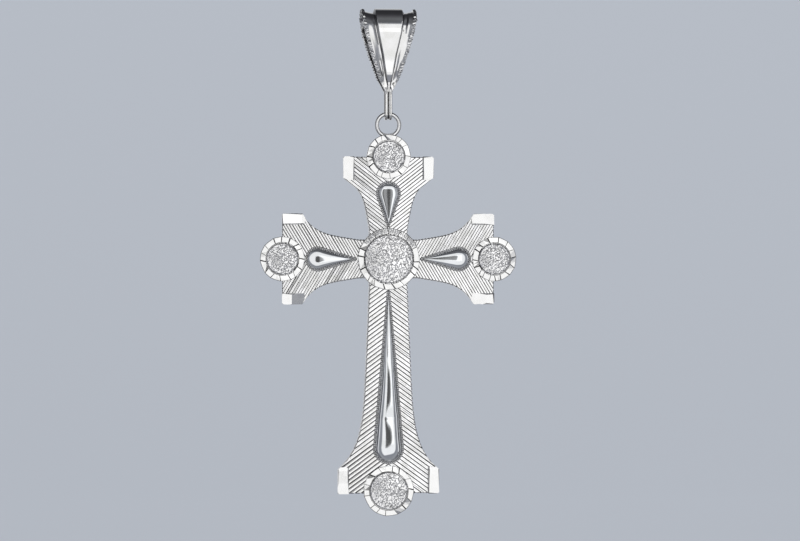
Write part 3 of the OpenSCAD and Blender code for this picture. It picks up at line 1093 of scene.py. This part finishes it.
CAMERA_LENS = 112
CAMERA_SIDE = 5.5  # degrees that the camera stands to the object's left
SEEN_WIDTH = 160.0  # millimetres across the picture, at the object
SEEN_CENTRE = (2.4, -2.3)  # the picture's centre from the cross's, to the right and up
PALE = (0.46, 0.49, 0.54)  # the stage, as the camera sees it


# The stage, in metres: how far under the object its floor lies, its half width, its near and far
# ends, the radius of the bend up behind, and the backdrop's height
FLOOR_UNDER, STAGE_HALF, STAGE_NEAR, STAGE_FAR = 0.10, 3.0, -2.2, 1.6
STAGE_BEND, STAGE_HIGH = 0.5, 2.5


def studio():
    """A pale floor that curves up behind the object."""
    floor_z = cad_box[0].z - FLOOR_UNDER
    profile = [(STAGE_NEAR, floor_z), (STAGE_FAR - STAGE_BEND, floor_z)]
    for k in range(1, 13):
        a = pi / 2 * k / 12
        profile.append((STAGE_FAR - STAGE_BEND + STAGE_BEND * sin(a),
                        floor_z + STAGE_BEND - STAGE_BEND * cos(a)))
    profile.append((STAGE_FAR, floor_z + STAGE_HIGH))
    points = [(x, y, z) for y, z in profile for x in (-STAGE_HALF, STAGE_HALF)]
    faces = [(2 * k, 2 * k + 1, 2 * k + 3, 2 * k + 2) for k in range(len(profile) - 1)]
    mesh = bpy.data.meshes.new("studio_floor")
    mesh.from_pydata(points, [], faces)
    sheet = new_object("studio_floor", mesh)
    material = bpy.data.materials.new("studio_floor")
    material.use_nodes = True
    shader = material.node_tree.nodes["Principled BSDF"]
    shader.inputs["Base Color"].default_value = (*(c * 0.5 for c in PALE), 1)
    shader.inputs["Roughness"].default_value = 0.9
    shader.inputs["Emission Color"].default_value = (*PALE, 1)
    shader.inputs["Emission Strength"].default_value = 0.75
    mesh.materials.append(material)
    for face in mesh.polygons:
        face.use_smooth = True
    sheet.visible_glossy = False


def soft_light(name, place, target, size, radiance):
    """A rectangular light that faces the target. Places and sizes are in metres."""
    data = bpy.data.lights.new(name, "AREA")
    data.shape = "RECTANGLE"
    data.size, data.size_y = size
    data.energy = radiance * pi * size[0] * size[1]
    light = new_object(name, data)
    light.location = place
    light.rotation_mode = "QUATERNION"
    light.rotation_quaternion = (Vector(target) - Vector(place)).to_track_quat("-Z", "Y")
    light.visible_camera = False
    return light


def lights():
    """A key light by the camera, two strips at the sides, and a light for the stage alone."""
    cross = (0, 0, CROSS_Z * MM)
    soft_light("key_softbox", (0.10, -0.95, -0.02), cross, (0.36, 0.36), 0.25)
    soft_light("left_strip", (-0.85, -0.30, 0.0), cross, (0.16, 0.9), 0.6)
    soft_light("right_strip", (0.85, -0.25, 0.0), cross, (0.20, 0.9), 0.7)
    stage_light = soft_light("stage_light", (0.4, 0.6, 1.6), (0.0, 0.9, 0.0), (2.0, 1.2), 0.8)
    stage_light.visible_glossy = False


# The tone of the light tent by how many degrees a direction is off the front
TENT = [
    (0, (1.0, 1.0, 1.0)), (31, (1.0, 1.0, 1.0)), (37, (0.25, 0.26, 0.29)),
    (62, (0.34, 0.35, 0.37)), (80, (0.18, 0.18, 0.20)), (94, (0.09, 0.09, 0.10)),
    (125, (0.06, 0.06, 0.07)), (142, (0.45, 0.46, 0.48)), (180, (0.8, 0.81, 0.83)),
]
LENS_HOLE = 7.0  # half angle, in degrees, of the hole the picture is taken through
LENS_TONE = 0.1
TENT_FOLD = 0.24  # how far, in radians, the tent's folds shift those tones
OVERHEAD_BAND = (0.5, 0.7)  # the heights of a direction over which the tent darkens to this tone
OVERHEAD_TONE = 0.4


def world():
    """A soft tent of light round the object: white in front, darker overhead, at the sides and
    behind, with faint folds. A camera ray sees it as one pale tone."""
    surroundings = bpy.data.worlds.new("studio")
    bpy.context.scene.world = surroundings
    surroundings.use_nodes = True
    tree = surroundings.node_tree
    direction = add_node(tree, "TexCoord").outputs["Generated"]

    folds = add_node(tree, "TexNoise", {"Vector": direction, "Scale": 2.6, "Detail": 2.0})
    parts = add_node(tree, "SeparateXYZ", {"Vector": direction})
    forward = add_node(tree, "Math", {0: parts.outputs["Y"], 1: -1.0}, "MULTIPLY")
    off_axis = add_node(tree, "Math", {0: forward.outputs["Value"]}, "ARCCOSINE")
    folded = add_node(tree, "Math", {
        0: folds.outputs["Fac"], 1: TENT_FOLD, 2: off_axis.outputs["Value"],
    }, "MULTIPLY_ADD")

    band = (TENT_FOLD / 2, pi + TENT_FOLD / 2)
    sweep = ramp(tree, folded.outputs["Value"], band, 0.0, 1.0)
    tones = add_node(tree, "ValToRGB", {"Fac": sweep.outputs["Result"]})
    elements = tones.color_ramp.elements
    elements.remove(elements[0])
    elements[0].position, elements[0].color = 0.0, (*TENT[0][1], 1)
    for off_front, tone in TENT[1:]:
        elements.new(off_front / 180).color = (*tone, 1)

    overhead = ramp(tree, parts.outputs["Z"], OVERHEAD_BAND, 1.0, OVERHEAD_TONE)
    turn = radians(CAMERA_SIDE)
    toward = add_node(tree, "VectorMath", {
        0: direction, 1: (-sin(turn), -cos(turn), 0),
    }, "DOT_PRODUCT")
    band = [cos(radians(LENS_HOLE + more)) for more in (1, -1)]
    hole = ramp(tree, toward.outputs["Value"], band, 1.0, LENS_TONE)
    tent = tones.outputs["Color"]
    for fade in (overhead, hole):
        fade.interpolation_type = "SMOOTHSTEP"
        tent = scaled(tree, tent, fade.outputs["Result"])

    mix = tree.nodes.new("ShaderNodeMix")
    mix.data_type = "RGBA"
    mix.inputs["B"].default_value = (*PALE, 1)
    tree.links.new(tent, mix.inputs["A"])
    tree.links.new(add_node(tree, "LightPath").outputs["Is Camera Ray"], mix.inputs["Factor"])
    tree.links.new(mix.outputs["Result"], tree.nodes["Background"].inputs["Color"])


def camera():
    data = bpy.data.cameras.new("camera")
    data.lens = CAMERA_LENS
    data.clip_start, data.clip_end = 0.01, 20
    far = SEEN_WIDTH * MM * CAMERA_LENS / data.sensor_width
    turn = radians(CAMERA_SIDE)
    centre = Vector((SEEN_CENTRE[0], 0, CROSS_Z + SEEN_CENTRE[1])) * MM
    view = new_object("camera", data)
    view.location = centre + Vector((-sin(turn), -cos(turn), 0)) * far
    view.rotation_euler = (radians(90), 0, -turn)
    bpy.context.scene.camera = view


# ------------------------------ build

camera()
studio()
lights()
world()
bpy.context.scene.view_settings.view_transform = "Standard"

engraved_plate()
for number, (name, cuts) in enumerate(
    [("centre", 19), ("top", 15), ("left", 15), ("right", 16), ("foot", 14)]
):
    medallion_rim(name, cuts, 31 + number)
    frosted_field(name, 51 + number)
for number, (name, *shape) in enumerate(DROPS):
    polished_drop(name, *shape, 71 + number)
    beaded_collar(name, 91 + number)
centre_milgrain(97)
for cap in CAPS:
    corner_cap(*cap)
wire_ring()
solder_seat()
folded_bail()
strap_loop()
pointed_arch()
